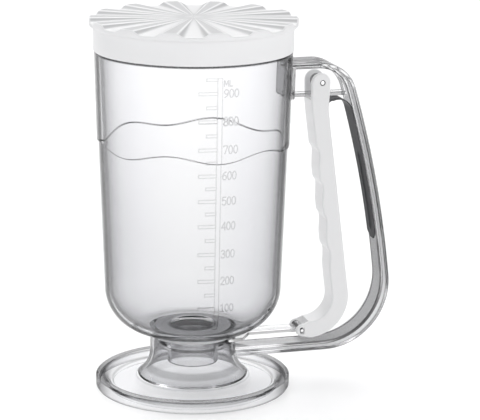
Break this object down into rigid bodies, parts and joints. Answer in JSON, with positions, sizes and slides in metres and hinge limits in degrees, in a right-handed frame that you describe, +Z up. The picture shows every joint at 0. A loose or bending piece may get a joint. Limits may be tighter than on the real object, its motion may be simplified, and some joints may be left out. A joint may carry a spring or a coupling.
{
  "type": "pancake batter dispenser",
  "caption": "Clear measuring jar on a drip stand, with a lift-off fluted lid and a squeeze lever in its handle that slides a gate under the outlet.",
  "frame": {"origin": "centre of the drip stand's underside", "axes": "+Z up along the jar's axis, +X towards the handle, and the XZ plane cuts the handle in half"},
  "size_m": [0.1621, 0.1092, 0.2001],
  "materials": {
    "clear_jar": "clear smoke-tinted plastic, polished",
    "clear_handle": "clear plastic, polished",
    "clear_stand": "clear plastic, polished",
    "clear_gate": "clear plastic, polished",
    "white_lid": "satin white plastic",
    "white_lever": "satin white plastic",
    "nozzle_plastic": "satin pale plastic",
    "seal_rubber": "soft grey rubber",
    "spring_steel": "dark polished spring steel",
    "pin_steel": "plain steel"
  },
  "bodies": {
    "stand": {"drip_stand": "clear_stand"},
    "jar_body": {"jar": "clear_jar", "handle": "clear_handle", "gate_seal": "seal_rubber", "outlet_nozzle": "nozzle_plastic", "leaf_spring": "spring_steel"},
    "lid_body": {"lid": "white_lid"},
    "lever": {"squeeze_lever": "white_lever", "pivot_pin": "pin_steel"},
    "gate": {"gate_slide": "clear_gate", "link_pin": "pin_steel"}
  },
  "joints": [
    {"name": "jar_lift", "type": "slide", "parent": "stand", "child": "jar_body", "axis": [0, 0, 1], "range_m": [0, 0.1]},
    {"name": "lid_lift", "type": "slide", "parent": "jar_body", "child": "lid_body", "axis": [0, 0, 1], "range_m": [0, 0.06]},
    {"name": "lever_squeeze", "type": "hinge", "parent": "jar_body", "child": "lever", "pos_m": [0.0689, 0, 0.1632], "axis": [0, -1, 0], "range_deg": [0, 6.5], "stiffness_Nm_per_rad": 4, "springref_deg": -2.86, "deforming": ["leaf_spring"]},
    {"name": "gate_travel", "type": "slide", "parent": "jar_body", "child": "gate", "axis": [1, 0, 0], "range_m": [0, 0.0156]}
  ],
  "couplings": [
    {"joint": "gate_travel", "follows": "lever_squeeze", "m_per_rad": 0.13625}
  ]
}
